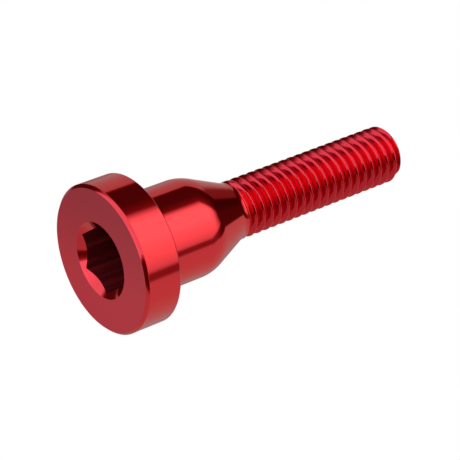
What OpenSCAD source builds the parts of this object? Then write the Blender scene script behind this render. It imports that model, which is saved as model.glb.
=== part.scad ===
// Top cap bolt: a socket head bolt turned from one aluminium bar.
// It stands on its head: the head's outer face is at z = 0 and the threaded tip is at the top.

/* [Head] */
// Diameter of the flat disc head
head_d = 14.7; // [12.5:0.1:20]
// Height of the head, from its outer face to the bearing face
head_h = 3.9; // [2:0.1:8]
// Chamfer round the outer face
head_front_chamfer = 0.3; // [0.1:0.05:0.8]
// Chamfer round the bearing face
head_rear_chamfer = 0.15; // [0.05:0.05:0.5]

/* [Hexagon socket] */
// Width across the flats of the key
socket_af = 6; // [4:0.5:6]
// Depth of the flats below the outer face
socket_depth = 5.5; // [3:0.1:8]
// Diameter of the countersunk mouth
socket_mouth_d = 7.6; // [7.2:0.1:9]
// Included angle of the countersunk mouth
socket_mouth_angle = 106; // [80:1:130]
// Included angle of the drill point at the bottom
socket_drill_angle = 118; // [90:1:140]

/* [Boss and neck] */
// Diameter of the plain boss that centres the cap
boss_d = 9.8; // [8.8:0.1:11.5]
// Straight length of the boss above the bearing face
boss_len = 5.6; // [3:0.1:10]
// Radius that rounds the boss into the taper
shoulder_radius = 4.7; // [2:0.1:6]
// Slope of the taper, measured from the axis
taper_angle = 23.5; // [18:0.5:40]
// Hollow radius that runs the taper out into the shank
neck_radius = 1.8; // [0.5:0.1:4]

/* [Thread] */
// Nominal diameter of the thread
thread_d = 6; // [5:0.5:7]
// Pitch of the thread
thread_pitch = 1; // [0.8:0.05:1.25]
// How far the crests stay below the nominal radius
crest_trim = 0.08; // [0.02:0.01:0.12]
// Length of the bolt from the bearing face to the tip
bolt_len = 31.3; // [20:0.1:60]
// Chamfer at the tip, at 45 degrees
tip_chamfer = 0.3; // [0.1:0.05:0.8]
// Turns over which the groove fades out towards the neck
runout_turns = 0.4; // [0.3:0.1:1.5]
// How far before the end of the neck the groove starts, in pitches
groove_start_back = 0.1; // [0:0.05:0.8]
// Angle about the axis, from a corner of the socket, at which the groove starts
groove_start_angle = -98; // [-180:1:180]
// Straight segments in one turn of the groove
groove_segments = 24; // [16:4:32]

/* [Hidden] */
$fn = 96;

// Clearance by which a cut runs past the surface it opens
over = 0.05;
head_r = head_d / 2;
boss_r = boss_d / 2;
tip_z = head_h + bolt_len;
crest_r = thread_d / 2 - crest_trim;

// The taper leaves the shoulder arc and enters the neck arc at a tangent
shoulder_z = head_h + boss_len;
shoulder_centre = [boss_r - shoulder_radius, shoulder_z];
taper_low = shoulder_centre + shoulder_radius * [cos(taper_angle), sin(taper_angle)];
taper_high_r = crest_r + neck_radius * (1 - cos(taper_angle));
taper_high = [taper_high_r, taper_low.y + (taper_low.x - taper_high_r) / tan(taper_angle)];
neck_end_z = taper_high.y + neck_radius * sin(taper_angle);
neck_corner = [crest_r, taper_high.y + (taper_high_r - crest_r) / tan(taper_angle)];

// Socket depths follow from the key size and the tool angles
socket_corner_r = socket_af / sqrt(3);
mouth_r = socket_mouth_d / 2;
mouth_inner_r = socket_af / 2 - over;
mouth_depth = (mouth_r - mouth_inner_r) / tan(socket_mouth_angle / 2);
drill_r = socket_af / 2;
drill_depth = drill_r / tan(socket_drill_angle / 2);

// ISO metric groove: 60 degree flanks and a root flat of a quarter pitch
flank_angle = 30;
root_depth_share = 17 / 24;
thread_triangle = thread_pitch * cos(flank_angle);
root_r = thread_d / 2 - root_depth_share * thread_triangle;
root_half = thread_pitch / 8;
groove_out_r = crest_r + 2 * over;
groove_out_half = root_half + (groove_out_r - root_r) * tan(flank_angle);
groove_start_z = neck_end_z - groove_start_back * thread_pitch;
groove_start_rise = max(0, (neck_corner.y - groove_start_z) * tan(taper_angle));
groove_start_lift = crest_r + groove_start_rise - root_r + over;
groove_turns = ceil((tip_z - groove_start_z) / thread_pitch + 1);
groove_steps = groove_turns * groove_segments;

// Half section of the turned blank: radius in x, height in y
module blank_section() {
    polygon([
        [0, 0],
        [head_r - head_front_chamfer, 0],
        [head_r, head_front_chamfer],
        [head_r, head_h - head_rear_chamfer],
        [head_r - head_rear_chamfer, head_h],
        [boss_r, head_h],
        [boss_r, shoulder_z],
        taper_low,
        taper_high,
        neck_corner,
        [crest_r, tip_z - tip_chamfer],
        [crest_r - tip_chamfer, tip_z],
        [0, tip_z]
    ]);
    // Rounded shoulder of the boss
    intersection() {
        translate(shoulder_centre) circle(r = shoulder_radius);
        translate([0, shoulder_z]) square([boss_r, taper_low.y - shoulder_z]);
    }
    // Hollow fillet where the taper meets the shank
    difference() {
        polygon([[0, taper_high.y], taper_high, [crest_r, neck_end_z], [0, neck_end_z]]);
        translate([crest_r + neck_radius, neck_end_z]) circle(r = neck_radius);
    }
}

// Hexagon with a countersunk mouth and a drill point below it
module socket_cut() {
    translate([0, 0, -over]) cylinder(r = socket_corner_r, h = socket_depth + over, $fn = 6);
    cylinder(r1 = mouth_r, r2 = mouth_inner_r, h = mouth_depth);
    translate([0, 0, socket_depth]) cylinder(r1 = drill_r, r2 = 0, h = drill_depth);
}

// How far the cutting tool stands off after a number of turns from the start
function tool_lift(turns) = groove_start_lift * max(0, 1 - turns / runout_turns);

// The four corners of the groove's section at one step along the helix
function groove_corners(step) =
    let (
        turns = step / groove_segments,
        angle = groove_start_angle + 360 * turns,
        z = groove_start_z + thread_pitch * turns,
        lift = tool_lift(turns)
    )
    [
        for (corner = [
            [root_r, -root_half],
            [groove_out_r, -groove_out_half],
            [groove_out_r, groove_out_half],
            [root_r, root_half]
        ])
        [(corner.x + lift) * cos(angle), (corner.x + lift) * sin(angle), z + corner.y]
    ];

// Helical groove, swept as one closed solid
module thread_groove() {
    points = [for (step = [0 : groove_steps]) each groove_corners(step)];
    last = 4 * groove_steps;
    sides = [
        for (step = [0 : groove_steps - 1], side = [0 : 3])
        let (
            a = 4 * step + side,
            b = 4 * step + (side + 1) % 4
        )
        each [[a, b, b + 4], [a, b + 4, a + 4]]
    ];
    caps = [[3, 2, 1], [3, 1, 0], [last, last + 1, last + 2], [last, last + 2, last + 3]];
    polyhedron(points = points, faces = concat(sides, caps), convexity = 10);
}

module bolt() {
    color("crimson")
    difference() {
        rotate_extrude() blank_section();
        socket_cut();
        thread_groove();
    }
}

bolt();
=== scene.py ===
import math
import bpy
from mathutils import Matrix, Vector


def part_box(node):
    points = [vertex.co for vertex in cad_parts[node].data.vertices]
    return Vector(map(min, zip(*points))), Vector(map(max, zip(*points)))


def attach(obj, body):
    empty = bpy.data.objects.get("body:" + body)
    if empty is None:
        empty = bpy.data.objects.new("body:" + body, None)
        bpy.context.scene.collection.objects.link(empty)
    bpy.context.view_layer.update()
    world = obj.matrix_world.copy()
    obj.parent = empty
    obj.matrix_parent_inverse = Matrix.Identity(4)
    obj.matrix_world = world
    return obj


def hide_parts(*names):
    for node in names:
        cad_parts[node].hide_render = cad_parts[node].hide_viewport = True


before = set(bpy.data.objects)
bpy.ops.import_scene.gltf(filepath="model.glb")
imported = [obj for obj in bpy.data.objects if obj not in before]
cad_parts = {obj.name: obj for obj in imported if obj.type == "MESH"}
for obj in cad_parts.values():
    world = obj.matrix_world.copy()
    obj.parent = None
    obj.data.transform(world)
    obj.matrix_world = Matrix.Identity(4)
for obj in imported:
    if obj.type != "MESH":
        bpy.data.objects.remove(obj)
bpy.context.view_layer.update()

# Turned blank of the bolt: head, boss, rounded shoulder, taper and neck.
# The real one is turned from one aluminium bar. A disc is carried up the axis
# from the outer face, ring by ring, to the place where the thread starts.
mm = 0.001
high_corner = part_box("bolt")[1]
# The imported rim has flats, so the narrower side of its box gives the radius
head_r = high_corner[1]
tip_z = high_corner[2]
head_h = 3.9 * mm
front_chamfer = 0.3 * mm
rear_chamfer = 0.15 * mm
boss_r = 4.9 * mm
boss_len = 5.6 * mm
shoulder_radius = 4.7 * mm
taper_angle = math.radians(23.5)
neck_radius = 1.8 * mm
crest_r = 2.92 * mm
around = 240
arc_steps = 20

shoulder_z = head_h + boss_len
shoulder_arc = [
    (
        boss_r - shoulder_radius * (1 - math.cos(taper_angle * step / arc_steps)),
        shoulder_z + shoulder_radius * math.sin(taper_angle * step / arc_steps),
    )
    for step in range(arc_steps + 1)
]
taper_low_r, taper_low_z = shoulder_arc[-1]
taper_high_r = crest_r + neck_radius * (1 - math.cos(taper_angle))
taper_high_z = taper_low_z + (taper_low_r - taper_high_r) / math.tan(taper_angle)
neck_end_z = taper_high_z + neck_radius * math.sin(taper_angle)
neck_arc = [
    (
        crest_r + neck_radius * (1 - math.cos(taper_angle * step / arc_steps)),
        neck_end_z - neck_radius * math.sin(taper_angle * step / arc_steps),
    )
    for step in range(arc_steps, -1, -1)
]


def pick(piece):
    bpy.ops.object.select_all(action="DESELECT")
    piece.select_set(True)
    bpy.context.view_layer.objects.active = piece


def edit_all(piece):
    pick(piece)
    bpy.ops.object.mode_set(mode="EDIT")
    bpy.ops.mesh.select_all(action="SELECT")


def finish_edit():
    bpy.ops.object.mode_set(mode="OBJECT")
    bpy.ops.object.select_all(action="DESELECT")


def apply_modifier(piece, kind, **settings):
    pick(piece)
    modifier = piece.modifiers.new(kind, kind)
    for name, value in settings.items():
        setattr(modifier, name, value)
    bpy.ops.object.modifier_apply(modifier=modifier.name)


bpy.ops.object.select_all(action="DESELECT")
first_ring_r = head_r - front_chamfer
bpy.ops.mesh.primitive_circle_add(vertices=around, radius=first_ring_r, fill_type="NGON")
bolt = bpy.context.object
bolt.name = "top_cap_bolt"
edit_all(bolt)
rings = [
    (head_r, front_chamfer),
    (head_r, head_h - rear_chamfer),
    (head_r - rear_chamfer, head_h),
    (boss_r, head_h),
    *shoulder_arc,
    *neck_arc,
]
last_r, last_z = first_ring_r, 0
for ring_r, ring_z in rings:
    bpy.ops.mesh.extrude_region_move(TRANSFORM_OT_translate={"value": (0, 0, ring_z - last_z)})
    spread = ring_r / last_r
    bpy.ops.transform.resize(value=(spread, spread, 1))
    last_r, last_z = ring_r, ring_z
bpy.ops.mesh.select_all(action="SELECT")
bpy.ops.mesh.normals_make_consistent(inside=False)
finish_edit()

# Edges of the blank are broken by a few hundredths of a millimetre before it is
# polished, so that none of them is sharp to the hand.
broken_edge = 0.03 * mm
edge_angle = math.radians(35)
apply_modifier(
    bolt,
    "BEVEL",
    width=broken_edge,
    segments=2,
    limit_method="ANGLE",
    angle_limit=edge_angle,
)

# Hexagon socket for a 6 mm key: broached flats, a drill point below them,
# and a countersunk mouth that cuts the flats off in scallops.
socket_af = 6 * mm
socket_corner_r = socket_af / math.sqrt(3)
socket_depth = 5.5 * mm
mouth_r = 3.8 * mm
mouth_half_angle = math.radians(53)
drill_half_angle = math.radians(59)
broach_corner = 0.12 * mm
over = 0.05 * mm


def cut(piece, tool):
    apply_modifier(piece, "BOOLEAN", operation="DIFFERENCE", solver="EXACT", object=tool)
    bpy.data.objects.remove(tool)


bpy.ops.object.select_all(action="DESELECT")
bpy.ops.mesh.primitive_cylinder_add(
    vertices=6,
    radius=socket_corner_r,
    depth=socket_depth + over,
    location=(0, 0, (socket_depth - over) / 2),
)
broach = bpy.context.object
edit_all(broach)
corner_to_x = math.radians(30)
bpy.ops.transform.rotate(value=corner_to_x, orient_axis="Z", center_override=(0, 0, 0))
finish_edit()
apply_modifier(broach, "BEVEL", width=broach_corner, segments=3, limit_method="ANGLE")
cut(bolt, broach)

bpy.ops.object.select_all(action="DESELECT")
drill_depth = socket_af / 2 / math.tan(drill_half_angle)
bpy.ops.mesh.primitive_cone_add(
    vertices=around // 2,
    radius1=socket_af / 2,
    radius2=0,
    depth=drill_depth + over,
    location=(0, 0, socket_depth + (drill_depth - over) / 2),
)
cut(bolt, bpy.context.object)

bpy.ops.object.select_all(action="DESELECT")
mouth_out_r = mouth_r + over * math.tan(mouth_half_angle)
mouth_depth = mouth_out_r / math.tan(mouth_half_angle)
bpy.ops.mesh.primitive_cone_add(
    vertices=around,
    radius1=mouth_out_r,
    radius2=0,
    depth=mouth_depth,
    location=(0, 0, mouth_depth / 2 - over),
)
cut(bolt, bpy.context.object)

# M6 x 1 thread, right-hand, cut on the shank up to the chamfered tip.
# Its section over one pitch is drawn beside the axis and screwed along it. The
# groove starts at the neck's end, on the far side, and is soon at its full depth.
pitch = 1 * mm
flank_angle = math.radians(30)
root_depth_share = 17 / 24
root_r = 3 * mm - pitch * math.cos(flank_angle) * root_depth_share
root_half = pitch / 8
crest_start = root_half + (crest_r - root_r) * math.tan(flank_angle)
crest_round = 0.06 * mm
root_round = 0.12 * mm
tip_chamfer = 0.3 * mm
runout_turns = 0.4
groove_start_angle = math.radians(-98)
groove_start_z = neck_end_z - 0.1 * pitch
steps_per_turn = 80
# The screwed skin is drawn past both ends, and is sawn off at the joint and the tip
turns_below = 3
turns_above = 2
join_z = groove_start_z - 0.7 * pitch
# A length too small to see, for telling points apart
hair = 0.001 * mm

first_groove_z = groove_start_z - groove_start_angle / math.tau * pitch - turns_below * pitch
thread_turns = math.ceil((tip_z - first_groove_z) / pitch) + turns_above
groove_section = [
    (crest_r, -pitch / 2),
    (crest_r, -crest_start),
    (root_r, -root_half),
    (root_r, root_half),
    (crest_r, crest_start),
    (crest_r, pitch / 2),
]
bpy.ops.object.select_all(action="DESELECT")
bpy.ops.mesh.primitive_plane_add(size=pitch, location=(0, 0, 0))
thread = bpy.context.object
edit_all(thread)
bpy.ops.mesh.merge(type="CENTER")
start_r, start_z = groove_section[0]
bpy.ops.transform.translate(value=(start_r, 0, first_groove_z + start_z))
for (from_r, from_z), (to_r, to_z) in zip(groove_section, groove_section[1:]):
    move = (to_r - from_r, 0, to_z - from_z)
    bpy.ops.mesh.extrude_region_move(TRANSFORM_OT_translate={"value": move})
finish_edit()


def select_vertices(piece, wanted):
    pick(piece)
    bpy.ops.object.mode_set(mode="EDIT")
    bpy.ops.mesh.select_mode(type="VERT")
    bpy.ops.mesh.select_all(action="DESELECT")
    bpy.ops.object.mode_set(mode="OBJECT")
    for vertex in piece.data.vertices:
        vertex.select = wanted(vertex.co)
    bpy.ops.object.mode_set(mode="EDIT")


def is_crest_corner(place):
    return place.x > crest_r - hair and abs(place.z - first_groove_z) < crest_start + hair


def is_root_corner(place):
    return place.x < root_r + hair


for corner, rounding in ((is_crest_corner, crest_round), (is_root_corner, root_round)):
    select_vertices(thread, corner)
    bpy.ops.mesh.bevel(offset=rounding, segments=5, affect="VERTICES")
    finish_edit()
edit_all(thread)
bpy.ops.mesh.subdivide(number_cuts=1)
finish_edit()

apply_modifier(
    thread,
    "SCREW",
    axis="Z",
    angle=math.tau,
    screw_offset=pitch,
    iterations=thread_turns,
    steps=steps_per_turn,
    render_steps=steps_per_turn,
)
edit_all(thread)
bpy.ops.mesh.remove_doubles(threshold=hair)
finish_edit()


def blank_radius(z):
    if z < taper_high_z:
        return taper_high_r + (taper_high_z - z) * math.tan(taper_angle)
    below_neck = max(0, neck_end_z - z)
    return crest_r + neck_radius - math.sqrt(neck_radius**2 - below_neck**2)


# The tool stands off while it goes in, and cuts nothing outside the blank
def cut_radius(place, radius):
    part_turn = (math.atan2(place.y, place.x) - groove_start_angle) / math.tau
    whole_turns = round((place.z - groove_start_z) / pitch - part_turn)
    turns = part_turn + whole_turns
    tool_lift = (crest_r - root_r + over) * min(1, max(0, 1 - turns / runout_turns))
    cut_r = blank_radius(place.z)
    if turns > 0 and radius < crest_r - hair:
        cut_r = min(radius + tool_lift, cut_r)
    if place.z > tip_z - tip_chamfer:
        chamfer_r = crest_r - tip_chamfer + tip_z - place.z
        cut_r = max(min(cut_r, chamfer_r), root_r - tip_chamfer)
    return cut_r


for vertex in thread.data.vertices:
    radius = math.hypot(vertex.co.x, vertex.co.y)
    shrink = cut_radius(vertex.co, radius) / radius
    vertex.co.x *= shrink
    vertex.co.y *= shrink


def saw_off(piece, height, keep_above, close):
    edit_all(piece)
    bpy.ops.mesh.bisect(
        plane_co=(0, 0, height),
        plane_no=(0, 0, 1),
        clear_inner=keep_above,
        clear_outer=not keep_above,
        use_fill=close,
        threshold=hair / 10,
    )
    finish_edit()


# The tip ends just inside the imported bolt's box
saw_off(thread, join_z, keep_above=True, close=False)
saw_off(thread, tip_z - hair / 4, keep_above=False, close=True)

# The shank is one with the neck: the blank's end is opened and bridged to the
# thread's first ring, and the whole bolt is one closed skin.
joint_gap = 0.1 * mm
smooth_below = math.radians(32)
saw_off(bolt, join_z - joint_gap, keep_above=False, close=False)
pick(bolt)
thread.select_set(True)
bpy.ops.object.join()
bpy.ops.object.mode_set(mode="EDIT")
bpy.ops.mesh.select_mode(type="EDGE")
bpy.ops.mesh.select_all(action="DESELECT")
bpy.ops.mesh.select_non_manifold(
    use_wire=False,
    use_multi_face=False,
    use_non_contiguous=False,
    use_verts=False,
)
bpy.ops.mesh.bridge_edge_loops()
bpy.ops.mesh.select_all(action="SELECT")
bpy.ops.mesh.normals_make_consistent(inside=False)
finish_edit()
pick(bolt)
bpy.ops.object.shade_smooth_by_angle(angle=smooth_below)
apply_modifier(bolt, "WEIGHTED_NORMAL", keep_sharp=True)


# Shader maths: a wire holds a node's socket, and takes part in a sum as a number
# does. Any other node comes from make, or from wire where one output is wanted.
class Wire:
    def __init__(self, tree, socket=None):
        self.tree = tree
        self.socket = socket

    def make(self, kind, settings, sockets):
        node = self.tree.nodes.new(kind)
        for name, value in settings.items():
            setattr(node, name, value)
        for name, value in sockets.items():
            if isinstance(value, Wire):
                self.tree.links.new(value.socket, node.inputs[name])
            else:
                node.inputs[name].default_value = value
        return node

    def wire(self, kind, settings, sockets, output=0):
        return Wire(self.tree, self.make(kind, settings, sockets).outputs[output])

    def math(self, operation, *values):
        return self.wire("ShaderNodeMath", {"operation": operation}, dict(enumerate(values)))

    def __add__(self, other):
        return self.math("ADD", self, other)

    def __radd__(self, other):
        return self.math("ADD", other, self)

    def __sub__(self, other):
        return self.math("SUBTRACT", self, other)

    def __rsub__(self, other):
        return self.math("SUBTRACT", other, self)

    def __mul__(self, other):
        return self.math("MULTIPLY", self, other)

    def __rmul__(self, other):
        return self.math("MULTIPLY", other, self)

    def __truediv__(self, other):
        return self.math("DIVIDE", self, other)

    def __rtruediv__(self, other):
        return self.math("DIVIDE", other, self)

    def at_least(self, limit):
        return self.math("MAXIMUM", self, limit)

    def at_most(self, limit):
        return self.math("MINIMUM", self, limit)

    def rises(self, start, end):
        bounds = {"Value": self, "From Min": start, "From Max": end}
        return self.wire("ShaderNodeMapRange", {"interpolation_type": "SMOOTHSTEP"}, bounds)

    def blend(self, colour_at_none, colour_at_full):
        colours = {"Factor": self, 6: colour_at_none, 7: colour_at_full}
        return self.wire("ShaderNodeMix", {"data_type": "RGBA"}, colours, 2)


# Finish of the bolt: polished, then anodised and dyed red, under the clear skin
# of the oxide. The outer face of the head is blasted to a satin before the bath,
# and carries painted shade that darkens it towards +X. The thread is a deeper red,
# its roots are painted darker as shade, and the broached socket is rough and painted dark as
# shade.
red_polish = (0.56, 0.007, 0.012, 1)
red_thread = (0.5, 0.006, 0.016, 1)
# Painted shade: the thread's roots are painted darker, where shade falls between the turns
red_root_painted_shade = (0.38, 0.001, 0.004, 1)
red_satin = (0.58, 0.092, 0.108, 1)
# Painted shade: the satin face's red where the painted shade is full
red_satin_painted_shade = (0.38, 0.08, 0.092, 1)
# Painted shade: the socket's reds are painted dark, standing in for the shade in the recess
red_socket_painted_shade = (0.24, 0.012, 0.014, 1)
red_socket_painted_shade_streak = (0.1, 0.006, 0.007, 1)
grazing_red = (0.6, 0.08, 0.1, 1)
finish = bpy.data.materials.new("red_anodised_aluminium")
finish.use_nodes = True
tree = finish.node_tree
tree.nodes.clear()
start = Wire(tree)
place = start.wire("ShaderNodeTexCoord", {}, {}, "Object")
axes = start.make("ShaderNodeSeparateXYZ", {}, {"Vector": place})
across, along, up = (Wire(tree, axes.outputs[name]) for name in "XYZ")
radius = start.math("SQRT", across * across + along * along) / mm
height = up / mm

# Masks, in millimetres of radius and height, are 1 on the surface they are named for
mouth_mm = mouth_r / mm
corner_mm = socket_corner_r / mm
socket_end_mm = (socket_depth + drill_depth) / mm
thread_from_mm = neck_end_z / mm
root_mm = root_r / mm
on_face = 1 - height.rises(0.0, 0.02)
satin = on_face * radius.rises(mouth_mm - 0.06, mouth_mm)
cone_radius = radius + height * math.tan(mouth_half_angle)
behind_mouth = cone_radius.rises(mouth_mm + 0.02, mouth_mm + 0.1)
within_corners = 1 - radius.rises(corner_mm + 0.1, corner_mm + 0.14)
below_socket_end = 1 - height.rises(socket_end_mm + 0.5, socket_end_mm + 0.6)
in_socket = behind_mouth * within_corners * below_socket_end
on_thread = height.rises(thread_from_mm, thread_from_mm + 1)
# The roots take painted shade, and no clear skin
in_root = on_thread * (1 - radius.rises(root_mm + 0.03, root_mm + 0.21))


def marks_along(distance, detail):
    sockets = {"W": distance, "Detail": detail}
    return start.wire("ShaderNodeTexNoise", {"noise_dimensions": "1D"}, sockets, "Fac")


def specks(where, scale, detail):
    sockets = {"Vector": where, "Scale": scale, "Detail": detail}
    return start.wire("ShaderNodeTexNoise", {}, sockets, "Fac")


# Turning marks run round the axis, so they change along it or out from it, and
# the broach's marks run the length of the socket
turning = marks_along(height * 14, 4)
facing = marks_along(radius * 9, 3)
grain = specks(place, 9000, 2)
clouds = specks(place, 160, 3)
broaching = specks(start.wire("ShaderNodeCombineXYZ", {}, {"X": across, "Y": along}), 2500, 2)

# Painted shade over the satin face: darker towards +X, broken up by the cloudy tone
satin_painted_shade_and_clouds = (across / mm + 3 * clouds).rises(-3, 9)
satin_colour_with_painted_shade = satin_painted_shade_and_clouds.blend(red_satin, red_satin_painted_shade)
# Painted shade in the socket, with streaks along the broach's marks
socket_painted_shade_and_broach_streaks = broaching.rises(0.35, 0.75).blend(red_socket_painted_shade_streak, red_socket_painted_shade)
# Polished red, the thread's deeper red, and painted shade in the roots
polished_colour_with_root_shade = in_root.blend(on_thread.blend(red_polish, red_thread), red_root_painted_shade)
colour = in_socket.blend(satin.blend(polished_colour_with_root_shade, satin_colour_with_painted_shade), socket_painted_shade_and_broach_streaks)
roughness = (
    0.085
    + 0.03 * turning
    + 0.02 * clouds
    + satin * (0.2 + 0.05 * grain)
    + in_socket * 0.2
    + on_thread * 0.05
)
relief = (1 - satin) * 0.06 * turning + satin * (grain * 0.5 + facing * 0.1)
relief_sockets = {"Strength": 0.25, "Distance": 0.004 * mm, "Height": relief}
clear_skin = 0.62 * (1 - satin) * (1 - 0.8 * in_socket) * (1 - 0.35 * on_thread) * (1 - in_root)
shader = start.make(
    "ShaderNodeBsdfPrincipled",
    {},
    {
        "Base Color": colour,
        "Metallic": 1 - 0.6 * in_socket,
        "Roughness": roughness,
        "Specular Tint": grazing_red,
        "Normal": start.wire("ShaderNodeBump", {}, relief_sockets, "Normal"),
        "Coat Weight": clear_skin,
        "Coat Roughness": 0.06,
        "Coat IOR": 1.5,
    },
)
start.make("ShaderNodeOutputMaterial", {}, {"Surface": Wire(tree, shader.outputs["BSDF"])})
bolt.data.materials.clear()
bolt.data.materials.append(finish)
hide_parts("bolt")
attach(bolt, "root")

# Camera of the photograph, fitted to the bolt's edges. The bolt stands on the
# face that the photograph shows, so the camera is below and looks up at it.
camera_azimuth = math.radians(62.4)
camera_elevation = math.radians(-32.99)
camera_roll = math.radians(68.87)
camera_distance = 196.8 * mm
aim = Vector((-1.48, 0.77, 14.55)) * mm
towards_camera = Vector(
    (
        math.cos(camera_elevation) * math.cos(camera_azimuth),
        math.cos(camera_elevation) * math.sin(camera_azimuth),
        math.sin(camera_elevation),
    )
)
level = towards_camera.to_track_quat("Z", "Y").to_matrix().to_4x4()
bpy.ops.object.select_all(action="DESELECT")
bpy.ops.object.camera_add()
camera = bpy.context.object
camera.matrix_world = (
    Matrix.Translation(aim + towards_camera * camera_distance)
    @ level
    @ Matrix.Rotation(camera_roll, 4, "Z")
)
camera.data.lens = 160.33
camera.data.sensor_width = 36
camera.data.clip_start = 1 * mm
camera.data.clip_end = 20
bpy.context.scene.camera = camera

# Floor: a plain pale sheet, seen from above only, since the photograph's
# camera is under it. It takes the bolt's shadow, and lies just under the head.
floor_r = 1.5
floor_drop = 0.02 * mm
bpy.ops.object.select_all(action="DESELECT")
bpy.ops.mesh.primitive_circle_add(
    vertices=64,
    radius=floor_r,
    fill_type="NGON",
    location=(0, 0, -floor_drop),
)
floor = bpy.context.object
floor.name = "floor"
edit_all(floor)
bpy.ops.mesh.inset(thickness=floor_r / 3)
finish_edit()
floor_paint = bpy.data.materials.new("floor_paint")
floor_paint.use_nodes = True
tree = floor_paint.node_tree
tree.nodes.clear()
start = Wire(tree)
light_path = start.make("ShaderNodeLightPath", {}, {})
geometry = start.make("ShaderNodeNewGeometry", {}, {})
seen_by_camera = Wire(tree, light_path.outputs["Is Camera Ray"])
seen_from_above = seen_by_camera * (1 - Wire(tree, geometry.outputs["Backfacing"]))
pale = start.wire("ShaderNodeBsdfDiffuse", {}, {"Color": (0.72, 0.72, 0.72, 1)})
clear = start.wire("ShaderNodeBsdfTransparent", {}, {})
sheet = start.wire("ShaderNodeMixShader", {}, {0: seen_from_above, 1: clear, 2: pale})
start.make("ShaderNodeOutputMaterial", {}, {"Surface": sheet})
floor.data.materials.append(floor_paint)

# Studio: a pale room with a large soft box on the camera's side and a low, cool
# box under it. Dark red felt between them draws the dark bands on the polish, and
# half-lit screens shade the walls. The camera itself sees only white behind the bolt.
world = bpy.data.worlds.new("studio")
bpy.context.scene.world = world
world.use_nodes = True
tree = world.node_tree
tree.nodes.clear()
start = Wire(tree)
way = start.wire("ShaderNodeTexCoord", {}, {}, "Generated")
turned = start.wire(
    "ShaderNodeVectorRotate",
    {"rotation_type": "Z_AXIS"},
    {"Vector": way, "Angle": -camera_azimuth},
)
parts = start.make("ShaderNodeSeparateXYZ", {}, {"Vector": turned})
front, side, top = (Wire(tree, parts.outputs[name]) for name in "XYZ")

# Degrees round from the camera's side, and degrees above the horizon
bearing = start.math("ARCTAN2", side, front) * math.degrees(1)
rise = start.math("ARCSINE", top) * math.degrees(1)
overhead = 120
underfoot = -120


def panel(left, right, bottom, high, soft):
    width = (bearing - left).rises(-soft, soft) * (1 - (bearing - right).rises(-soft, soft))
    return width * (rise - bottom).rises(-soft, soft) * (1 - (rise - high).rises(-soft, soft))


leaning = rise - 30
tall_felt_right = 57 + 0.5 * (rise - 45).at_least(0)
low_felt_left = 24 - 1.5 * (rise + 58).at_most(0)
low_felt_right = 79 - 0.3 * (rise + 45)
low_screen_top = -40 + 0.5 * (bearing - 110)
tall_felt = panel(-100 + 0.25 * leaning, tall_felt_right, 5, overhead, 3)
left_felt = panel(-154, -104, -36, 14, 7)
low_felt = panel(low_felt_left, low_felt_right, -74, -28, 7)
ceiling_screen = panel(-140, -85, 56, overhead, 5)
narrow_screen = panel(-185, -150, 12, 32, 8)
back_screen = panel(152, 190, -25, 50, 8)
low_screen = panel(92, 165, underfoot, low_screen_top, 8)

# The tall felt takes some light from the edge of the soft box and from the left
spill = (0.05 + 0.2 * bearing.rises(-68, -40)) * (1 - rise.rises(40, 70))
tall_felt_light = 0.06 + 0.05 * bearing.rises(-60, 0) + spill
right_wall = bearing.rises(-60, 60) * (1 - bearing.rises(110, 180)) * rise.rises(-10, 30)
brightness = 0.77 + 0.11 * right_wall
for cloth, light_left in (
    (tall_felt, tall_felt_light),
    (ceiling_screen, 0.32),
    (left_felt, 0.13),
    (narrow_screen, 0.35),
    (back_screen, 0.58),
    (low_screen, 0.66),
    (low_felt, 0.14),
):
    brightness = brightness + cloth * (light_left - brightness)

box_left = (bearing - 0.6 * leaning).rises(-54, -30)
box_right = 1 - (bearing + 0.4 * leaning).rises(39, 51)
box_top = 1 - (rise - 0.12 * bearing.at_least(0)).rises(41, 71)
soft_box = box_left * box_right * rise.rises(-10, 0) * box_top
soft_box_light = (2.5 - 0.031 * bearing).at_most(2.7)
low_box = panel(-121, low_felt_left - 5, underfoot, -31, 5)
low_box_light = 1.82 - 0.3 * rise.rises(-72, -55)
lamps = (soft_box * soft_box_light).at_least(low_box * low_box_light)
brightness = brightness.at_least(lamps)

light_path = start.make("ShaderNodeLightPath", {}, {})
seen_by_camera = Wire(tree, light_path.outputs["Is Camera Ray"])
brightness = brightness + seen_by_camera * (1 - brightness)
red_felt = (1, 0.2, 0.22, 1)
white = (1, 1, 1, 1)
cool_white = (0.97, 1.25, 1.5, 1)
light_colour = brightness.rises(0.2, 0.7).blend(red_felt, low_box.blend(white, cool_white))
studio = start.wire("ShaderNodeBackground", {}, {"Color": light_colour, "Strength": brightness})
start.make("ShaderNodeOutputWorld", {}, {"Surface": studio})

bpy.context.scene.view_settings.view_transform = "Standard"
